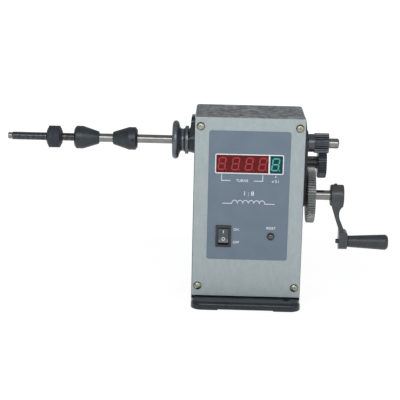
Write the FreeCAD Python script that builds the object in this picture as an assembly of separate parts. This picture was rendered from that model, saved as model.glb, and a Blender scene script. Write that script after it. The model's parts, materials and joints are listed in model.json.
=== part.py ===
"""Hand-cranked coil winder with an electronic turn counter.

A cast box on a flanged base carries a long winding spindle near its top. A crank on the right drives
the spindle eight turns for one through a crank gear, a compound idler and a spindle pinion. Two cones
and a knurled nut on the spindle hold the coil former. A light panel closes the front of the box and
carries the counter display, a rocker switch and a reset button.

Millimetres. +Z is up, the front panel faces -Y, and the winding arbor points along -X.
The origin is on the resting face of the base, under the spindle and midway between the side walls.
"""

import FreeCAD, Part
import math
import os

V = FreeCAD.Vector

# Front panel and cast box
PANEL_W = 106.0
PANEL_H = 178.0
PANEL_T = 2.0
PANEL_BOTTOM = 8.5
BOX_W = 107.0
BOX_D = 78.0
BOX_TOP = PANEL_BOTTOM + PANEL_H
WALL = 6.0
BACK_WALL = 5.0
TOP_EDGE = 2.3
BACK_CORNER = 4.0
CAVITY_FLOOR = 12.0
FRONT = -35.0
BACK = FRONT + BOX_D
PANEL_FACE = FRONT - PANEL_T
SIDE = BOX_W / 2

# Base flange
BASE_D = 114.0
BASE_T = 7.5
BASE_CORNER = 11.0
BASE_EDGE = 4.0
PAD_RELIEF = 0.8
PAD_RELIEF_DEPTH = 12.0
PAD_RELIEF_HALF = 27.0
BENCH_HOLE_R = 3.0
BENCH_HOLES = ((40.0, -42.0), (-40.0, 49.0))

# Shafts and gear train
SPINDLE_Z = 157.0
CRANK_Z = 104.5
SHAFT_R = 5.0
RUNNING_GAP = 0.05
MODULE = 0.9
PRESSURE_ANGLE = math.radians(25)
BACKLASH = 0.08
CRANK_TEETH = 60
IDLER_SMALL_TEETH = 12
IDLER_LARGE_TEETH = 32
SPINDLE_TEETH = 20
IDLER_TO_SPINDLE = MODULE * (IDLER_LARGE_TEETH + SPINDLE_TEETH) / 2
IDLER_TO_CRANK = MODULE * (CRANK_TEETH + IDLER_SMALL_TEETH) / 2
SHAFT_SPACING = SPINDLE_Z - CRANK_Z
IDLER_DROP = (IDLER_TO_SPINDLE**2 - IDLER_TO_CRANK**2 + SHAFT_SPACING**2) / (2 * SHAFT_SPACING)
IDLER_Y = math.sqrt(IDLER_TO_SPINDLE**2 - IDLER_DROP**2)
IDLER_Z = SPINDLE_Z - IDLER_DROP
STUD_R = 3.0
IDLER_SPIGOT_R = 4.1

# Places along the shafts
LEFT_BOSS_X = -59.5
RIGHT_BOSS_X = 57.6
BOSS_R = 12.0
BOSS_ROOT_R = 13.3
PAD_TOP = 182.0
BUSH_R = 7.0
INNER_BOSS_R = 10.5
INNER_BOSS_X = 41.5
CRANK_BUSH_LEFT_X = 27.0
CRANK_SHAFT_LEFT_X = 20.0
GEAR_LEFT_X = 58.3
CRANK_GEAR_W = 8.0
IDLER_SMALL_RIGHT_X = 68.6
IDLER_LARGE_RIGHT_X = 77.2
PINION_LEFT_X = 64.0
PINION_RIGHT_X = 78.3
SPINDLE_RIGHT_X = 88.4
SPINDLE_GROOVE_R = 4.7

# Winding arbor
ARBOR_R = 4.25
THREAD_R = 4.0
TIP_R = 3.2
ARBOR_LEFT_X = -170.0
THREAD_LEFT_X = -234.5
TIP_LEFT_X = -238.5
NUT_X = -200.0
NUT_W = 15.0
NUT_R = 10.8
LEFT_CONE_X = -172.6
RIGHT_CONE_X = -110.3
CONE_L = 24.4
CONE_R = 11.3
CONE_TIP_R = 6.3
PULLEY_X = -75.8
PULLEY_W = 15.9
PULLEY_R = 19.0
GROOVE_R = 11.0
SMALL_FLANGE_R = 14.0

# Crank
CRANK_RADIUS = 47.0
HUB_LEFT_X = 81.9
HUB_RIGHT_X = 95.5
HUB_R = 10.9
EYE_LEFT_X = 92.2
EYE_RIGHT_X = 101.1
EYE_R = 8.0
EYE_TOP = 11.0
GRIP_RIGHT_X = 142.0
HANDLE_Z = CRANK_Z - CRANK_RADIUS
PIN_R = 2.3
PIN_LEFT_X = 89.5

# Panel layout, as x and z of centres, or low and high edges
SCREW_X = 47.5
SCREW_Z = (18.4, 177.6)
LABEL_HALF_W = 39.3
LABEL_Z = (46.2, 174.0)
LABEL_T = 0.25
LABEL_FACE = PANEL_FACE - LABEL_T
RED_X = (-32.0, 18.45)
GREEN_X = (19.9, 32.15)
WINDOW_Z = (133.0, 150.4)
DIGIT_X = (-26.3, -13.2, -0.2, 12.8, 25.3)
DIGIT_Z = 141.8
SWITCH_X = -23.3
SWITCH_Z = 69.7
RESET_X = 22.8
RESET_Z = 70.4

# Panel screws and cable grommet
SCREW_R = 1.95
SCREW_HEAD_R = 3.6
SCREW_HEAD_H = 2.2
GROMMET_X = 28.0
GROMMET_Z = 28.0
GROMMET_NECK_R = 5.0
GROMMET_LIP_R = 7.2
GROMMET_BORE_R = 2.6

# Display modules and their digits
MODULE_FACE = PANEL_FACE + 0.05
MODULE_BACK = PANEL_FACE + 8.0
DIGIT_H = 12.7
DIGIT_W = 7.4
STROKE = 1.15
SEGMENT_GAP = 0.22
SLANT = math.tan(math.radians(8))
SEGMENT_T = 0.12

# Rocker switch
BEZEL_FACE = LABEL_FACE - 1.7
SWITCH_BACK = PANEL_FACE + 17.0
ROCKER_PIVOT_Y = PANEL_FACE + 2.6
ROCKER_HALF_H = 7.2
ROCKER_HALF_W = 4.85
ROCKER_TILT = -8.0
ROCKER_FRONT = 6.4

# Reset button
RESET_BARREL_R = 2.95
RESET_COLLAR_R = 3.7
RESET_PLUNGER_R = 2.45
RESET_TRAVEL = 1.2

# Counter board and transformer
BOARD_HALF_W = 41.5
BOARD_Z = (96.0, 170.0)
BOARD_T = 1.6
STANDOFF_X = 37.5
STANDOFF_Z = (100.5, 165.5)
CORE_X = (-34.0, 6.0)
CORE_Y = (-4.0, 16.0)
CORE_TOP = 45.0

# Turn sensor
DISC_X = -20.0
DISC_R = 18.0
DISC_T = 1.2
DISC_SLOTS = 10
SENSOR_Z = (152.5, 161.5)

# Grub screws and stud fittings
SET_SCREW_R = 1.5
SOCKET_R = 0.8
PULLEY_SCREW_X = PULLEY_X + 9.8
CONE_SCREW_D = 4.6
COLLAR_R = 8.9
COLLAR_SCREW_X = 61.2
HUB_SCREW_X = 87.2
IDLER_WELL_X = 73.4
IDLER_WELL_R = 7.0
WASHER_X = (73.5, 74.3)
CLIP_X = 74.5
STUD_END_X = 76.6


def save(name, *solids):
    """Writes the solids of one node to its own file."""
    shape = solids[0] if len(solids) == 1 else Part.makeCompound(list(solids))
    shape.exportStep(f"parts/{name}.step")


def box(x, y, z):
    """A box from its low and high edges along each axis."""
    return Part.makeBox(x[1] - x[0], y[1] - y[0], z[1] - z[0], V(x[0], y[0], z[0]))


def rod_x(x0, x1, r, y=0.0, z=0.0, r_end=None):
    """A cylinder along X, or a cone when it has a second radius."""
    if r_end is None:
        return Part.makeCylinder(r, x1 - x0, V(x0, y, z), V(1, 0, 0))
    return Part.makeCone(r, r_end, x1 - x0, V(x0, y, z), V(1, 0, 0))


def rod_y(y0, y1, r, x, z):
    """A cylinder along Y."""
    return Part.makeCylinder(r, y1 - y0, V(x, y0, z), V(0, 1, 0))


def rod_z(z0, z1, r, x, y):
    """A cylinder along Z."""
    return Part.makeCylinder(r, z1 - z0, V(x, y, z0), V(0, 0, 1))


def ring_x(x0, x1, r_in, r_out, y=0.0, z=0.0):
    """A round sleeve along X."""
    return rod_x(x0, x1, r_out, y, z).cut(rod_x(x0, x1, r_in, y, z))


def turned(profile, y, z):
    """Revolves a profile about an axis along X. Each step of it is an (x, radius) point for a
    straight line, or a pair of such points for an arc through the first to the second."""
    edges = []
    here = profile[0]
    for step in profile[1:] + profile[:1]:
        if isinstance(step[0], tuple):
            through, there = step
            start, middle, end = (V(x, y, z + r) for x, r in (here, through, there))
            edges.append(Part.Arc(start, middle, end).toShape())
        else:
            there = step
            start, end = (V(x, y, z + r) for x, r in (here, there))
            edges.append(Part.LineSegment(start, end).toShape())
        here = there
    face = Part.Face(Part.Wire(edges))
    return face.revolve(V(0, y, z), V(1, 0, 0), 360)


def prism(points, direction):
    """Extrudes a flat polygon along a vector."""
    return Part.Face(Part.makePolygon([V(*p) for p in points] + [V(*points[0])])).extrude(V(*direction))


def hexagon_y(y0, y1, r, x, z):
    """A six-sided bar along Y."""
    turns = [math.radians(60 * i) for i in range(6)]
    return prism([(x + r * math.cos(a), y0, z + r * math.sin(a)) for a in turns], (0, y1 - y0, 0))


def rounded_plate(x, y, z, r):
    """A plate that faces along Z, with round corners in plan."""
    plate = box(x, y, z)
    upright = [e for e in plate.Edges if abs(e.tangentAt(e.FirstParameter).z) > 0.99]
    return plate.makeFillet(r, upright)


def rounded_panel(x, y, z, r):
    """A plate that faces along Y, with round corners seen from the front."""
    plate = box(x, y, z)
    across = [e for e in plate.Edges if abs(e.tangentAt(e.FirstParameter).y) > 0.99]
    return plate.makeFillet(r, across)


def slot_outline(x0, x1, r, ends):
    """A bar along X between x0 and x1 whose section is two circles joined by their common width."""
    (y0, z0), (y1, z1) = ends
    reach = math.hypot(y1 - y0, z1 - z0)
    across = ((z1 - z0) / reach * r, -(y1 - y0) / reach * r)
    corners = [
        (x0, y0 + across[0], z0 + across[1]),
        (x0, y1 + across[0], z1 + across[1]),
        (x0, y1 - across[0], z1 - across[1]),
        (x0, y0 - across[0], z0 - across[1]),
    ]
    middle = prism(corners, (x1 - x0, 0, 0))
    return middle.fuse([rod_x(x0, x1, r, y0, z0), rod_x(x0, x1, r, y1, z1)])


# Gears


def involute(angle):
    return math.tan(angle) - angle


def tooth_half_angle(teeth, radius):
    """Half the angle that a tooth takes at a radius."""
    pitch_r = MODULE * teeth / 2
    base_r = pitch_r * math.cos(PRESSURE_ANGLE)
    at_pitch = (math.pi * MODULE / 2 - BACKLASH) / (2 * pitch_r)
    return at_pitch + involute(PRESSURE_ANGLE) - involute(math.acos(min(1.0, base_r / radius)))


def gear_blank(teeth, x0, x1, y, z, phase):
    """A toothed disc about an axis along X, with one tooth centred on the phase angle from +Y to +Z."""
    pitch_r = MODULE * teeth / 2
    tip_r = pitch_r + MODULE
    root_r = pitch_r - 1.25 * MODULE
    flank_r = max(root_r, pitch_r * math.cos(PRESSURE_ANGLE))
    middle_r = (flank_r + tip_r) / 2

    def at(radius, angle):
        return V(x0, y + radius * math.cos(angle), z + radius * math.sin(angle))

    edges = []
    step = 2 * math.pi / teeth
    for i in range(teeth):
        centre = phase + i * step
        start, middle, end = (tooth_half_angle(teeth, r) for r in (flank_r, middle_r, tip_r))
        if flank_r > root_r + 1e-6:
            edges.append(Part.LineSegment(at(root_r, centre - start), at(flank_r, centre - start)).toShape())
        edges.append(
            Part.Arc(
                at(flank_r, centre - start), at(middle_r, centre - middle), at(tip_r, centre - end)
            ).toShape()
        )
        edges.append(Part.LineSegment(at(tip_r, centre - end), at(tip_r, centre + end)).toShape())
        edges.append(
            Part.Arc(
                at(tip_r, centre + end), at(middle_r, centre + middle), at(flank_r, centre + start)
            ).toShape()
        )
        if flank_r > root_r + 1e-6:
            edges.append(Part.LineSegment(at(flank_r, centre + start), at(root_r, centre + start)).toShape())
        following = at(root_r, centre + step - start)
        edges.append(Part.LineSegment(at(root_r, centre + start), following).toShape())
    return Part.Face(Part.Wire(edges)).extrude(V(x1 - x0, 0, 0))


def chamfered(gear, teeth, x0, x1, y, z, chamfer):
    """Turns a chamfer on both ends of a gear's teeth."""
    tip_r = MODULE * (teeth / 2 + 1) + 0.01
    end_r = tip_r - chamfer
    profile = [(x0, 0), (x0, end_r), (x0 + chamfer, tip_r), (x1 - chamfer, tip_r), (x1, end_r), (x1, 0)]
    return gear.common(turned(profile, y, z))


def mesh_phases():
    """Tooth directions that put both pairs of gears in mesh at rest."""
    to_idler = math.atan2(IDLER_Z - CRANK_Z, IDLER_Y)
    to_spindle = math.atan2(SPINDLE_Z - IDLER_Z, -IDLER_Y)
    return {
        "crank": to_idler,
        "idler_small": to_idler + math.pi + math.pi / IDLER_SMALL_TEETH,
        "idler_large": to_spindle,
        "spindle": to_spindle + math.pi + math.pi / SPINDLE_TEETH,
    }


# Cast box


def wall_pad(side, face_x, top_reach):
    """The thickened stretch of a side wall above the spindle boss. It leans in towards its top."""
    wall_x = side * (SIDE - 1.0)
    outer = side * (abs(face_x) - 0.4)
    profile = [
        (wall_x, -15.0, SPINDLE_Z - 4.0),
        (outer, -15.0, SPINDLE_Z - 4.0),
        (outer, -15.0, SPINDLE_Z + 4.0),
        (side * (SIDE + top_reach), -15.0, PAD_TOP - 0.9),
        (side * (SIDE + top_reach - 0.9), -15.0, PAD_TOP),
        (wall_x, -15.0, PAD_TOP),
    ]
    slanted = prism(profile, (0, 30.0, 0))
    half = BOSS_R - 0.6
    plate = box(sorted((wall_x, outer)), (-half, half), (SPINDLE_Z - 5.0, PAD_TOP))
    upper = [
        e
        for e in plate.Edges
        if abs(e.tangentAt(e.FirstParameter).x) > 0.99 and e.CenterOfMass.z > SPINDLE_Z
    ]
    return slanted.common(plate.makeFillet(half * 0.6, upper))


def housing():
    """The casting: box, base flange, bearing bosses, screw bosses and their holes."""
    body = box((-SIDE, SIDE), (FRONT, BACK), (0, BOX_TOP))
    upright = [e for e in body.Edges if abs(e.tangentAt(e.FirstParameter).z) > 0.99]
    body = body.makeFillet(BACK_CORNER, [e for e in upright if e.CenterOfMass.y > FRONT + 1.0])
    upper = [e for e in body.Edges if e.CenterOfMass.z > BOX_TOP - 0.01]
    body = body.makeFillet(TOP_EDGE, [e for e in upper if e.CenterOfMass.y > FRONT + 1.0])
    base = rounded_plate((-SIDE, SIDE), (-BASE_D / 2, BASE_D / 2), (0, BASE_T), BASE_CORNER)
    base = base.makeFillet(BASE_EDGE, [e for e in base.Edges if e.CenterOfMass.z > BASE_T - 0.01])
    casting = body.fuse(base)

    # Side bosses and pads
    casting = casting.fuse(
        [
            rod_x(LEFT_BOSS_X, -SIDE + 1, BOSS_R, 0, SPINDLE_Z, BOSS_ROOT_R),
            rod_x(SIDE - 1, RIGHT_BOSS_X, BOSS_ROOT_R, 0, SPINDLE_Z, BOSS_R),
            wall_pad(-1, LEFT_BOSS_X, 3.7),
            wall_pad(1, RIGHT_BOSS_X, 1.6),
            slot_outline(SIDE - 1, RIGHT_BOSS_X, BOSS_R, ((0, SPINDLE_Z), (0, CRANK_Z))),
            rod_x(SIDE - 1, RIGHT_BOSS_X, 9.0, IDLER_Y, IDLER_Z),
        ]
    )

    # Cavity, open at the front
    inner = SIDE - WALL
    cavity = box((-inner, inner), (FRONT - 1, BACK - BACK_WALL), (CAVITY_FLOOR, BOX_TOP - WALL))
    casting = casting.cut(cavity)

    # Bosses inside the cavity
    inside = [
        rod_x(-inner - 1, -INNER_BOSS_X, INNER_BOSS_R, 0, SPINDLE_Z),
        rod_x(INNER_BOSS_X, inner + 1, INNER_BOSS_R, 0, SPINDLE_Z),
        rod_x(INNER_BOSS_X, inner + 1, INNER_BOSS_R, 0, CRANK_Z),
        rod_x(inner - 5.5, inner + 1, 6.5, IDLER_Y, IDLER_Z),
    ]
    for x in (-SCREW_X, SCREW_X):
        for z in SCREW_Z:
            inside.append(rod_y(FRONT, FRONT + 20, 5.6, x, z))
    casting = casting.fuse(inside)

    # Bearing seats, stud seat, screw holes, cable hole and bench holes
    holes = [
        rod_x(LEFT_BOSS_X - 1, -INNER_BOSS_X + 1, BUSH_R, 0, SPINDLE_Z),
        rod_x(INNER_BOSS_X - 1, RIGHT_BOSS_X + 1, BUSH_R, 0, SPINDLE_Z),
        rod_x(INNER_BOSS_X - 1, RIGHT_BOSS_X + 1, BUSH_R, 0, CRANK_Z),
        rod_x(SIDE - 8.0, RIGHT_BOSS_X + 1, STUD_R, IDLER_Y, IDLER_Z),
        rod_y(BACK - BACK_WALL - 1, BACK + 1, GROMMET_NECK_R, GROMMET_X, GROMMET_Z),
    ]
    for x, y in BENCH_HOLES:
        holes.append(rod_z(-1, BASE_T + 1, BENCH_HOLE_R, x, y))
    for x in (-SCREW_X, SCREW_X):
        for z in SCREW_Z:
            holes.append(rod_y(FRONT - 1, FRONT + 14, SCREW_R, x, z))
    for y in (-BASE_D / 2 - 1, BASE_D / 2 - PAD_RELIEF_DEPTH):
        holes.append(
            box((-PAD_RELIEF_HALF, PAD_RELIEF_HALF), (y, y + PAD_RELIEF_DEPTH + 1), (-1, PAD_RELIEF))
        )
    return casting.cut(holes)


def pan_head_screw(x, z, face_y, length):
    """A pan-head screw along Y, with its head in front of the face and a plain cross recess."""
    edge = SCREW_HEAD_H * 0.45
    head_front = face_y - SCREW_HEAD_H
    centre = V(x, head_front, z)
    rim = V(x + SCREW_HEAD_R, face_y - edge, z)
    shoulder = V(x + SCREW_HEAD_R * 0.72, head_front + 0.5, z)
    outline = [
        Part.LineSegment(V(x, face_y, z), V(x + SCREW_HEAD_R, face_y, z)).toShape(),
        Part.LineSegment(V(x + SCREW_HEAD_R, face_y, z), rim).toShape(),
        Part.Arc(rim, shoulder, centre).toShape(),
        Part.LineSegment(centre, V(x, face_y, z)).toShape(),
    ]
    head = Part.Face(Part.Wire(outline)).revolve(V(x, 0, z), V(0, 1, 0), 360)
    recess_depth = (head_front - 1, head_front + 1.1)
    slot = box((x - 2.0, x + 2.0), recess_depth, (z - 0.4, z + 0.4))
    cross = slot.fuse(box((x - 0.4, x + 0.4), recess_depth, (z - 2.0, z + 2.0)))
    return head.cut(cross).fuse(rod_y(face_y, face_y + length, SCREW_R, x, z))


def front_panel():
    """The plate that closes the box, with its display, switch, button and screw openings."""
    half = PANEL_W / 2
    plate = rounded_panel((-half, half), (PANEL_FACE, FRONT), (PANEL_BOTTOM, BOX_TOP), 0.8)
    plate = plate.makeChamfer(0.35, [e for e in plate.Edges if e.CenterOfMass.y < PANEL_FACE + 0.01])
    deep = (PANEL_FACE - 1, FRONT + 1)
    openings = [
        box((RED_X[0] - 0.5, GREEN_X[1] + 0.5), deep, (WINDOW_Z[0] - 0.5, WINDOW_Z[1] + 0.5)),
        box((SWITCH_X - 6.4, SWITCH_X + 6.4), deep, (SWITCH_Z - 9.6, SWITCH_Z + 9.6)),
        rod_y(*deep, RESET_BARREL_R, RESET_X, RESET_Z),
    ]
    for x in (-SCREW_X, SCREW_X):
        for z in SCREW_Z:
            openings.append(rod_y(*deep, SCREW_R + 0.15, x, z))
    return plate.cut(openings)


def panel_label():
    """The thin overlay on the panel, open over both displays and under the switch and button."""
    overlay = rounded_panel((-LABEL_HALF_W, LABEL_HALF_W), (LABEL_FACE, PANEL_FACE), LABEL_Z, 2.5)
    deep = (LABEL_FACE - 1, PANEL_FACE + 1)
    return overlay.cut(
        [
            box(RED_X, deep, WINDOW_Z),
            box(GREEN_X, deep, WINDOW_Z),
            box((SWITCH_X - 6.4, SWITCH_X + 6.4), deep, (SWITCH_Z - 9.6, SWITCH_Z + 9.6)),
            rod_y(*deep, RESET_BARREL_R, RESET_X, RESET_Z),
        ]
    )


def bar_segment(x, z, upright, length):
    """One thin six-sided bar of a digit, leaning with the digit about DIGIT_Z."""
    a, s = length / 2 - SEGMENT_GAP, STROKE / 2
    outline = [(-a, 0), (-a + s, s), (a - s, s), (a, 0), (a - s, -s), (-a + s, -s)]
    if upright:
        outline = [(v, u) for u, v in outline]
    points = [(x + u + (z + v - DIGIT_Z) * SLANT, MODULE_FACE - SEGMENT_T, z + v) for u, v in outline]
    return prism(points, (0, SEGMENT_T, 0))


def digit(x):
    """The seven bars and the point of one digit."""
    half_w, half_h = (DIGIT_W - STROKE) / 2, (DIGIT_H - STROKE) / 2
    bars = [bar_segment(x, DIGIT_Z + k * half_h, False, 2 * half_w) for k in (-1, 0, 1)]
    for side in (-1, 1):
        for k in (-0.5, 0.5):
            bars.append(bar_segment(x + side * half_w, DIGIT_Z + k * half_h, True, half_h))
    point_x = x + half_w + 1.5 - half_h * SLANT
    bars.append(rod_y(MODULE_FACE - SEGMENT_T, MODULE_FACE, 0.6, point_x, DIGIT_Z - half_h))
    return bars


def display(x_range, digits):
    """A display module and the bars of its digits, which stand a little proud of its face."""
    body = box(
        (x_range[0] - 0.3, x_range[1] + 0.3),
        (MODULE_FACE, MODULE_BACK),
        (WINDOW_Z[0] - 0.3, WINDOW_Z[1] + 0.3),
    )
    return body, [bar for x in digits for bar in digit(x)]


def switch_body():
    """The switch's bezel and the case behind the panel, with the well that the rocker sits in."""
    bezel = box(
        (SWITCH_X - 7.5, SWITCH_X + 7.5), (BEZEL_FACE, LABEL_FACE), (SWITCH_Z - 10.7, SWITCH_Z + 10.7)
    )
    front_edges = [e for e in bezel.Edges if e.CenterOfMass.y < LABEL_FACE - 0.01]
    bezel = bezel.makeFillet(0.7, front_edges)
    case = box(
        (SWITCH_X - 6.3, SWITCH_X + 6.3), (LABEL_FACE, SWITCH_BACK), (SWITCH_Z - 9.5, SWITCH_Z + 9.5)
    )
    well = box(
        (SWITCH_X - ROCKER_HALF_W - 0.3, SWITCH_X + ROCKER_HALF_W + 0.3),
        (BEZEL_FACE - 1, ROCKER_PIVOT_Y + 5.0),
        (SWITCH_Z - 8.5, SWITCH_Z + 8.5),
    )
    return bezel.fuse(case).cut(well)


def switch_rocker():
    """The rocker, with its upper half pressed in. Its two faces dip towards the middle."""
    x0 = SWITCH_X - ROCKER_HALF_W
    y0 = ROCKER_PIVOT_Y
    lip = y0 - ROCKER_FRONT
    top = V(x0, lip, SWITCH_Z + ROCKER_HALF_H)
    bottom = V(x0, lip, SWITCH_Z - ROCKER_HALF_H)
    dip = V(x0, lip + 1.5, SWITCH_Z)
    root = V(x0, y0 + 1.5, SWITCH_Z + 5.6)
    root_low = V(x0, y0 + 1.5, SWITCH_Z - 5.6)
    belly = V(x0, y0 + 4.0, SWITCH_Z)
    edges = [
        Part.Arc(top, dip, bottom).toShape(),
        Part.LineSegment(bottom, root_low).toShape(),
        Part.Arc(root_low, belly, root).toShape(),
        Part.LineSegment(root, top).toShape(),
    ]
    rocker = Part.Face(Part.Wire(edges)).extrude(V(2 * ROCKER_HALF_W, 0, 0))
    lips = [
        e
        for e in rocker.Edges
        if abs(e.tangentAt(e.FirstParameter).x) > 0.99 and e.CenterOfMass.y < lip + 0.1
    ]
    rocker = rocker.makeFillet(0.5, lips)
    rocker.rotate(V(SWITCH_X, ROCKER_PIVOT_Y, SWITCH_Z), V(1, 0, 0), ROCKER_TILT)
    return rocker


def switch_terminals():
    """Two blade terminals at the back of the switch."""
    deep = (SWITCH_BACK, SWITCH_BACK + 8)
    wide = (SWITCH_X - 2.4, SWITCH_X + 2.4)
    return [box(wide, deep, (z - 0.4, z + 0.4)) for z in (SWITCH_Z - 4.5, SWITCH_Z + 4.5)]


def revolve_y(points, x, z):
    """Revolves (radius, y) points about an axis along Y."""
    outline = [V(x + r, y, z) for r, y in points]
    face = Part.Face(Part.makePolygon(outline + [outline[0]]))
    return face.revolve(V(x, 0, z), V(0, 1, 0), 360)


def reset_body():
    """The button's collar, its barrel through the panel and the blind bore for the plunger."""
    back = PANEL_FACE + 12.0
    bore = RESET_PLUNGER_R + 0.1
    floor = PANEL_FACE + 9.0
    return revolve_y(
        [
            (bore, LABEL_FACE - 1.3),
            (RESET_COLLAR_R - 0.5, LABEL_FACE - 1.3),
            (RESET_COLLAR_R, LABEL_FACE - 0.8),
            (RESET_COLLAR_R, LABEL_FACE),
            (RESET_BARREL_R, LABEL_FACE),
            (RESET_BARREL_R, back),
            (0, back),
            (0, floor),
            (bore, floor),
        ],
        RESET_X,
        RESET_Z,
    )


def reset_plunger():
    """The button itself, with a domed end."""
    front = LABEL_FACE - 3.0
    rim = V(RESET_X + RESET_PLUNGER_R, front + 0.9, RESET_Z)
    crown = V(RESET_X, front, RESET_Z)
    shoulder = V(RESET_X + RESET_PLUNGER_R * 0.6, front + 0.28, RESET_Z)
    back = PANEL_FACE + 9.0 - RESET_TRAVEL - 0.4
    edges = [
        Part.Arc(crown, shoulder, rim).toShape(),
        Part.LineSegment(rim, V(RESET_X + RESET_PLUNGER_R, back, RESET_Z)).toShape(),
        Part.LineSegment(V(RESET_X + RESET_PLUNGER_R, back, RESET_Z), V(RESET_X, back, RESET_Z)).toShape(),
        Part.LineSegment(V(RESET_X, back, RESET_Z), crown).toShape(),
    ]
    return Part.Face(Part.Wire(edges)).revolve(V(RESET_X, 0, RESET_Z), V(0, 1, 0), 360)


def board_parts():
    """The counter board, its four spacers and screws, and the chip on its back."""
    front, back = MODULE_BACK, MODULE_BACK + BOARD_T
    places = [(x, z) for x in (-STANDOFF_X, STANDOFF_X) for z in STANDOFF_Z]
    board = box((-BOARD_HALF_W, BOARD_HALF_W), (front, back), BOARD_Z)
    board = board.cut([rod_y(front - 1, back + 1, 1.5, x, z) for x, z in places])
    spacers = []
    screws = []
    for x, z in places:
        spacers.append(hexagon_y(FRONT, front, 3.4, x, z).cut(rod_y(front - 4, front + 1, 1.5, x, z)))
        screws.append(rod_y(front - 4, back, 1.5, x, z).fuse(rod_y(back, back + 1.8, 2.8, x, z)))
    chip = box((-18, 18), (back, back + 3.6), (118, 127))
    return board, spacers, screws, chip


def transformer():
    """The mains transformer on the cavity's floor: its iron core, its coil and two fixing screws."""
    core = box(CORE_X, CORE_Y, (CAVITY_FLOOR, CORE_TOP))
    through = (CORE_Y[0] - 1, CORE_Y[1] + 1)
    windows = [
        box((x, x + 6), through, (CAVITY_FLOOR + 7, CORE_TOP - 7)) for x in (CORE_X[0] + 7, CORE_X[1] - 13)
    ]
    foot_y = (CORE_Y[0] + 4, CORE_Y[1] - 4)
    foot = box((CORE_X[0] - 8, CORE_X[1] + 8), foot_y, (CAVITY_FLOOR, CAVITY_FLOOR + 2))
    bolt_x = (CORE_X[0] - 4, CORE_X[1] + 4)
    middle_y = (CORE_Y[0] + CORE_Y[1]) / 2
    core = core.cut(windows).fuse(foot)
    core = core.cut([rod_z(CAVITY_FLOOR - 1, CAVITY_FLOOR + 3, 1.7, x, middle_y) for x in bolt_x])
    coil_z = (CAVITY_FLOOR + 7.2, CORE_TOP - 7.2)
    coil = box((CORE_X[0] + 7.2, CORE_X[1] - 7.2), (CORE_Y[0] - 6, CORE_Y[1] + 6), coil_z)
    limb = box((CORE_X[0] + 13, CORE_X[1] - 13), (CORE_Y[0], CORE_Y[1]), (CAVITY_FLOOR, CORE_TOP))
    screws = [
        rod_z(CAVITY_FLOOR, CAVITY_FLOOR + 2, 1.7, x, middle_y).fuse(
            rod_z(CAVITY_FLOOR + 2, CAVITY_FLOOR + 4.2, 3.2, x, middle_y)
        )
        for x in bolt_x
    ]
    return core, coil.cut(limb), screws


# Turn sensor


def encoder_disc():
    """The slotted disc on the spindle that the sensor reads, ten slots to a turn."""
    disc = rod_x(DISC_X - DISC_T / 2, DISC_X + DISC_T / 2, DISC_R, 0, SPINDLE_Z)
    hub = rod_x(DISC_X - DISC_T / 2, DISC_X + 8, 8.5, 0, SPINDLE_Z)
    slots = []
    for i in range(DISC_SLOTS):
        slot = box((DISC_X - 1, DISC_X + 1), (DISC_R - 4, DISC_R + 1), (SPINDLE_Z - 1.4, SPINDLE_Z + 1.4))
        slot.rotate(V(0, 0, SPINDLE_Z), V(1, 0, 0), i * 360 / DISC_SLOTS)
        slots.append(slot)
    bore = rod_x(DISC_X - 2, DISC_X + 9, SHAFT_R, 0, SPINDLE_Z)
    return disc.cut(slots).fuse(hub).cut(bore)


def turn_sensor():
    """The slotted light sensor round the disc's rim, and the angle bracket on the back wall."""
    body = box((DISC_X - 6, DISC_X + 6), (12, 24), SENSOR_Z)
    body = body.cut(box((DISC_X - 2, DISC_X + 2), (11, 20), (SENSOR_Z[0] - 1, SENSOR_Z[1] + 1)))
    wall_y = BACK - BACK_WALL
    shelf = box((DISC_X - 8, DISC_X + 8), (12, wall_y), (SENSOR_Z[0] - 1.5, SENSOR_Z[0]))
    shelf = shelf.cut(box((DISC_X - 2, DISC_X + 2), (11, 20), (SENSOR_Z[0] - 3, SENSOR_Z[0] + 1)))
    flange = box((DISC_X - 8, DISC_X + 8), (wall_y - 1.5, wall_y), (SENSOR_Z[0] - 16, SENSOR_Z[0]))
    return body, shelf.fuse(flange)


def cable_grommet():
    """The rubber grommet in the back wall, a turned ring with a waist that the wall sits in."""
    inner, outer = BACK - BACK_WALL, BACK
    return revolve_y(
        [
            (GROMMET_BORE_R, inner - 2),
            (GROMMET_LIP_R - 1, inner - 2),
            (GROMMET_LIP_R, inner - 1),
            (GROMMET_LIP_R, inner),
            (GROMMET_NECK_R, inner),
            (GROMMET_NECK_R, outer),
            (GROMMET_LIP_R, outer),
            (GROMMET_LIP_R, outer + 1.2),
            (GROMMET_LIP_R - 1, outer + 2.2),
            (GROMMET_BORE_R, outer + 2.2),
        ],
        GROMMET_X,
        GROMMET_Z,
    )


# Turning parts


def spindle_shaft():
    """One stepped bar: tip, threaded end, arbor, the stretch that runs in the bushes and the right end."""
    return turned(
        [
            (TIP_LEFT_X, 0),
            (TIP_LEFT_X, TIP_R - 0.5),
            (TIP_LEFT_X + 0.5, TIP_R),
            (THREAD_LEFT_X, TIP_R),
            (THREAD_LEFT_X, THREAD_R - 0.7),
            (THREAD_LEFT_X + 0.7, THREAD_R),
            (ARBOR_LEFT_X, THREAD_R),
            (ARBOR_LEFT_X, ARBOR_R),
            (PULLEY_X, ARBOR_R),
            (PULLEY_X, SHAFT_R),
            (PINION_RIGHT_X, SHAFT_R),
            (PINION_RIGHT_X, SPINDLE_GROOVE_R),
            (PINION_RIGHT_X + 1.0, SPINDLE_GROOVE_R),
            (PINION_RIGHT_X + 1.0, SHAFT_R),
            (SPINDLE_RIGHT_X - 1.2, SHAFT_R),
            (SPINDLE_RIGHT_X, SHAFT_R - 1.2),
            (SPINDLE_RIGHT_X, 0),
        ],
        0,
        SPINDLE_Z,
    )


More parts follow.
